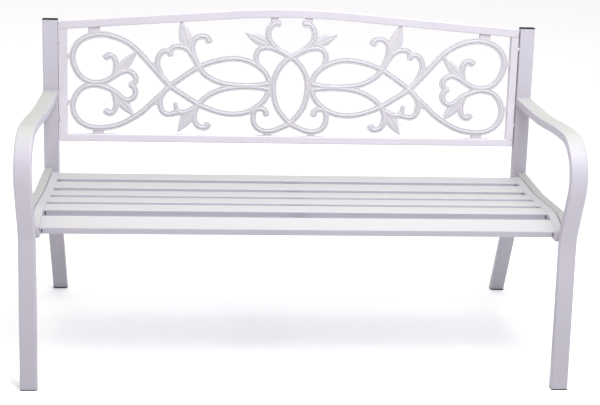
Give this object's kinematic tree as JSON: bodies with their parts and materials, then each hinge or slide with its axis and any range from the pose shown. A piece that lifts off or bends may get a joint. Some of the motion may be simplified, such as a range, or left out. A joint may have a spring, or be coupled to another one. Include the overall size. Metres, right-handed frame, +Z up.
{
  "type": "garden bench",
  "caption": "Garden bench with bent tube side frames, curved arms, a slatted metal seat and an arched back framing a cast scroll panel.",
  "frame": {"origin": "on the floor, under the middle of the bench's length and depth", "axes": "+X along the bench towards its right-hand end as seen by someone facing it, +Y from the front of the seat to the back, +Z up"},
  "size_m": [1.3286, 0.666, 0.8316],
  "materials": {
    "white_powder_coat": "satin powder coat, light orange peel",
    "black_plastic": "moulded, fine grain",
    "zinc_steel": "bright zinc plate"
  },
  "bodies": {
    "root": {"arm_and_front_leg_left": "white_powder_coat", "arm_and_front_leg_right": "white_powder_coat", "back_post_and_rear_leg_left": "white_powder_coat", "back_post_and_rear_leg_right": "white_powder_coat", "frame_seat_rail_left": "white_powder_coat", "frame_seat_rail_right": "white_powder_coat", "post_cap_left": "black_plastic", "post_cap_right": "black_plastic", "front_foot_glide_left": "black_plastic", "front_foot_glide_right": "black_plastic", "rear_foot_glide_left": "black_plastic", "rear_foot_glide_right": "black_plastic", "seat_panel_rail_left": "white_powder_coat", "seat_panel_rail_right": "white_powder_coat", "seat_slat_1": "white_powder_coat", "seat_slat_2": "white_powder_coat", "seat_slat_3": "white_powder_coat", "seat_slat_4": "white_powder_coat", "seat_slat_5": "white_powder_coat", "seat_slat_6": "white_powder_coat", "seat_centre_brace": "white_powder_coat", "back_top_bar": "white_powder_coat", "back_bottom_bar": "white_powder_coat", "back_stile_left": "white_powder_coat", "back_stile_right": "white_powder_coat", "back_scroll_casting": "white_powder_coat", "seat_bolts": "zinc_steel", "seat_bolt_washers": "zinc_steel", "seat_bolt_spacers": "zinc_steel", "seat_weld_nuts": "zinc_steel", "back_bolts": "zinc_steel", "back_bolt_washers": "zinc_steel", "back_bolt_spacers": "zinc_steel", "back_weld_nuts": "zinc_steel"}
  },
  "joints": []
}
